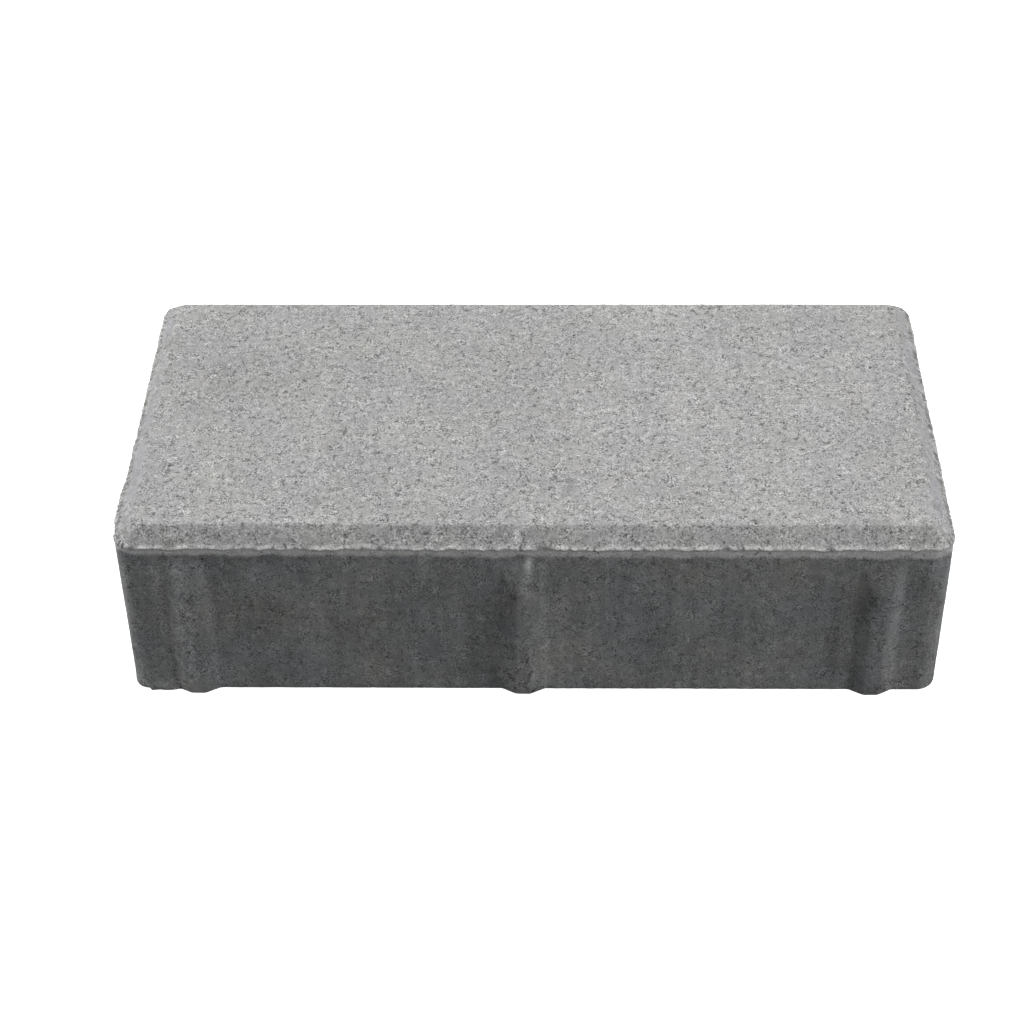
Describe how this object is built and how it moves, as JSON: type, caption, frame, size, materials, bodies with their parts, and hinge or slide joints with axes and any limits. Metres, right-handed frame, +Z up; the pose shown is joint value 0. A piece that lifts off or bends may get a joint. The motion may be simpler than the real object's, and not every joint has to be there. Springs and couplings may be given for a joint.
{
  "type": "concrete paving stone",
  "caption": "Rectangular pressed concrete paving stone with a chamfered wearing face, rounded upright corners and spacer ribs down its sides.",
  "frame": {"origin": "centre of the bed face, the flat underside that the stone lies on", "axes": "+X along the stone's length, +Y from the front long side to the back one, +Z up to the wearing face"},
  "size_m": [0.204, 0.104, 0.05],
  "materials": {
    "concrete": "dry pressed grey concrete, fine grained on the wearing face and chamfers, darker and dragged smooth down the sides"
  },
  "bodies": {
    "root": {"paving_stone": "concrete"}
  },
  "joints": []
}
